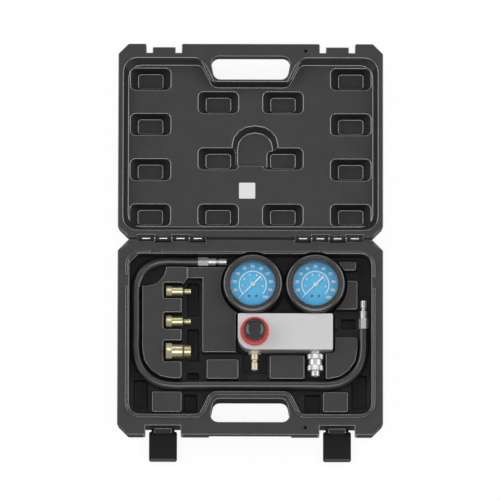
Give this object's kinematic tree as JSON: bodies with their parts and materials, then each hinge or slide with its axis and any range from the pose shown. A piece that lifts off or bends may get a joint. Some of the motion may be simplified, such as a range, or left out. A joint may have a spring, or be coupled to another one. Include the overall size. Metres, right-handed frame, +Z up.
{
  "type": "cylinder leak-down tester kit",
  "caption": "Two-gauge leak-down tester with regulator, quick coupler, whip hose and spark-plug adapters, lying in an open moulded carrying case with latches.",
  "frame": {"origin": "centre of the base half's flat underside", "axes": "+X to the right seen from the handle side, +Y from the handle to the lid, +Z up"},
  "size_m": [0.328, 0.521, 0.051],
  "materials": {
    "case_plastic": "blow-moulded, fine grain",
    "latch_plastic": "moulded, satin",
    "pin_steel": "drawn",
    "block_aluminium": "satin anodised",
    "fitting_chrome": "nickel plated",
    "ring_red": "anodised red",
    "knob_plastic": "moulded, ribbed",
    "inlet_brass": "turned",
    "adapter_zinc": "yellow passivated",
    "seal_rubber": "moulded",
    "boot_rubber": "moulded",
    "gauge_black": "satin black",
    "gauge_glass": "clear",
    "dial_blue": "printed",
    "pointer_white": "satin",
    "hose_rubber": "smooth"
  },
  "bodies": {
    "case_base": {"base_shell": "case_plastic", "hinge_pins": "pin_steel", "latch_pins": "pin_steel"},
    "lid": {"lid_shell": "case_plastic"},
    "left_latch": {"latch_left": "latch_plastic"},
    "right_latch": {"latch_right": "latch_plastic"},
    "tester": {"manifold_block": "block_aluminium", "inlet_nipple": "inlet_brass", "bonnet": "pin_steel", "lock_ring": "ring_red", "range_spring": "pin_steel", "valve_seat": "inlet_brass", "poppet_spring": "pin_steel", "bottom_plug": "inlet_brass", "metering_jet": "inlet_brass", "coupler_body": "fitting_chrome", "sleeve_spring": "pin_steel", "coupler_balls": "pin_steel", "coupler_seal": "boot_rubber", "gauge_boot_left": "boot_rubber", "gauge_case_left": "gauge_black", "gauge_bezel_left": "gauge_black", "gauge_lens_left": "gauge_glass", "gauge_dial_left": "dial_blue", "gauge_socket_left": "inlet_brass", "bourdon_tube_left": "inlet_brass", "movement_frame_left": "inlet_brass", "gauge_boot_right": "boot_rubber", "gauge_case_right": "gauge_black", "gauge_bezel_right": "gauge_black", "gauge_lens_right": "gauge_glass", "gauge_dial_right": "dial_blue", "gauge_socket_right": "inlet_brass", "bourdon_tube_right": "inlet_brass", "movement_frame_right": "inlet_brass"},
    "left_sector": {"sector_gear_left": "inlet_brass"},
    "left_pointer": {"pointer_left": "pointer_white"},
    "right_sector": {"sector_gear_right": "inlet_brass"},
    "right_pointer": {"pointer_right": "pointer_white"},
    "regulator_knob": {"knob": "knob_plastic", "adjusting_screw": "pin_steel"},
    "regulator_nut": {"spring_nut": "inlet_brass"},
    "valve": {"valve_piston": "pin_steel", "poppet": "inlet_brass"},
    "sleeve": {"coupler_sleeve": "fitting_chrome"},
    "hose": {"hose_tube": "hose_rubber", "hose_plug_left": "fitting_chrome", "hose_plug_right": "fitting_chrome"},
    "small_adapter": {"adapter_small": "adapter_zinc", "seal_small": "boot_rubber"},
    "medium_adapter": {"adapter_medium": "adapter_zinc", "seal_medium": "boot_rubber"},
    "large_adapter": {"adapter_large": "adapter_zinc", "seal_large": "seal_rubber"}
  },
  "joints": [
    {"name": "lid_hinge", "type": "hinge", "parent": "case_base", "child": "lid", "pos_m": [0, 0.124, 0.0342], "axis": [1, 0, 0], "range_deg": [0, 180]},
    {"name": "left_latch_hinge", "type": "hinge", "parent": "case_base", "child": "left_latch", "pos_m": [-0.1073, -0.1145, 0.011], "axis": [-1, 0, 0], "range_deg": [0, 90]},
    {"name": "right_latch_hinge", "type": "hinge", "parent": "case_base", "child": "right_latch", "pos_m": [0.1073, -0.1145, 0.011], "axis": [-1, 0, 0], "range_deg": [0, 90]},
    {"name": "tester_lift", "type": "slide", "parent": "case_base", "child": "tester", "axis": [0, 0, -1], "range_m": [-0.08, 0]},
    {"name": "left_sector_turn", "type": "hinge", "parent": "tester", "child": "left_sector", "pos_m": [0.003, 0.05275, 0.019], "axis": [0, 0, 1], "range_deg": [0, 30]},
    {"name": "left_pointer_turn", "type": "hinge", "parent": "tester", "child": "left_pointer", "pos_m": [0.003, 0.06775, 0.019], "axis": [0, 0, -1], "range_deg": [0, 270]},
    {"name": "right_sector_turn", "type": "hinge", "parent": "tester", "child": "right_sector", "pos_m": [0.0804, 0.05275, 0.019], "axis": [0, 0, 1], "range_deg": [0, 30]},
    {"name": "right_pointer_turn", "type": "hinge", "parent": "tester", "child": "right_pointer", "pos_m": [0.0804, 0.06775, 0.019], "axis": [0, 0, -1], "range_deg": [0, 270]},
    {"name": "knob_turn", "type": "hinge", "parent": "tester", "child": "regulator_knob", "pos_m": [0.0055, 0.0075, 0.045], "axis": [0, 0, -1], "range_deg": [0, 1440]},
    {"name": "nut_slide", "type": "slide", "parent": "tester", "child": "regulator_nut", "axis": [0, 0, -1], "range_m": [0, 0.005], "deforming": ["range_spring"]},
    {"name": "valve_slide", "type": "slide", "parent": "tester", "child": "valve", "axis": [0, 0, -1], "range_m": [0, 0.0008], "stiffness_N_per_m": 2000, "springref_m": -0.0005, "deforming": ["poppet_spring"]},
    {"name": "sleeve_slide", "type": "slide", "parent": "tester", "child": "sleeve", "axis": [0, 1, 0], "range_m": [0, 0.003], "stiffness_N_per_m": 400, "springref_m": -0.004, "deforming": ["sleeve_spring"]},
    {"name": "hose_lift", "type": "slide", "parent": "case_base", "child": "hose", "axis": [0, 0, -1], "range_m": [-0.08, 0]},
    {"name": "small_adapter_lift", "type": "slide", "parent": "case_base", "child": "small_adapter", "axis": [0, 0, -1], "range_m": [-0.08, 0]},
    {"name": "medium_adapter_lift", "type": "slide", "parent": "case_base", "child": "medium_adapter", "axis": [0, 0, -1], "range_m": [-0.08, 0]},
    {"name": "large_adapter_lift", "type": "slide", "parent": "case_base", "child": "large_adapter", "axis": [0, 0, -1], "range_m": [-0.08, 0]}
  ],
  "couplings": [
    {"joint": "left_pointer_turn", "follows": "left_sector_turn", "ratio": 9},
    {"joint": "right_pointer_turn", "follows": "right_sector_turn", "ratio": 9},
    {"joint": "knob_turn", "follows": "nut_slide", "rad_per_m": 5026.5}
  ]
}
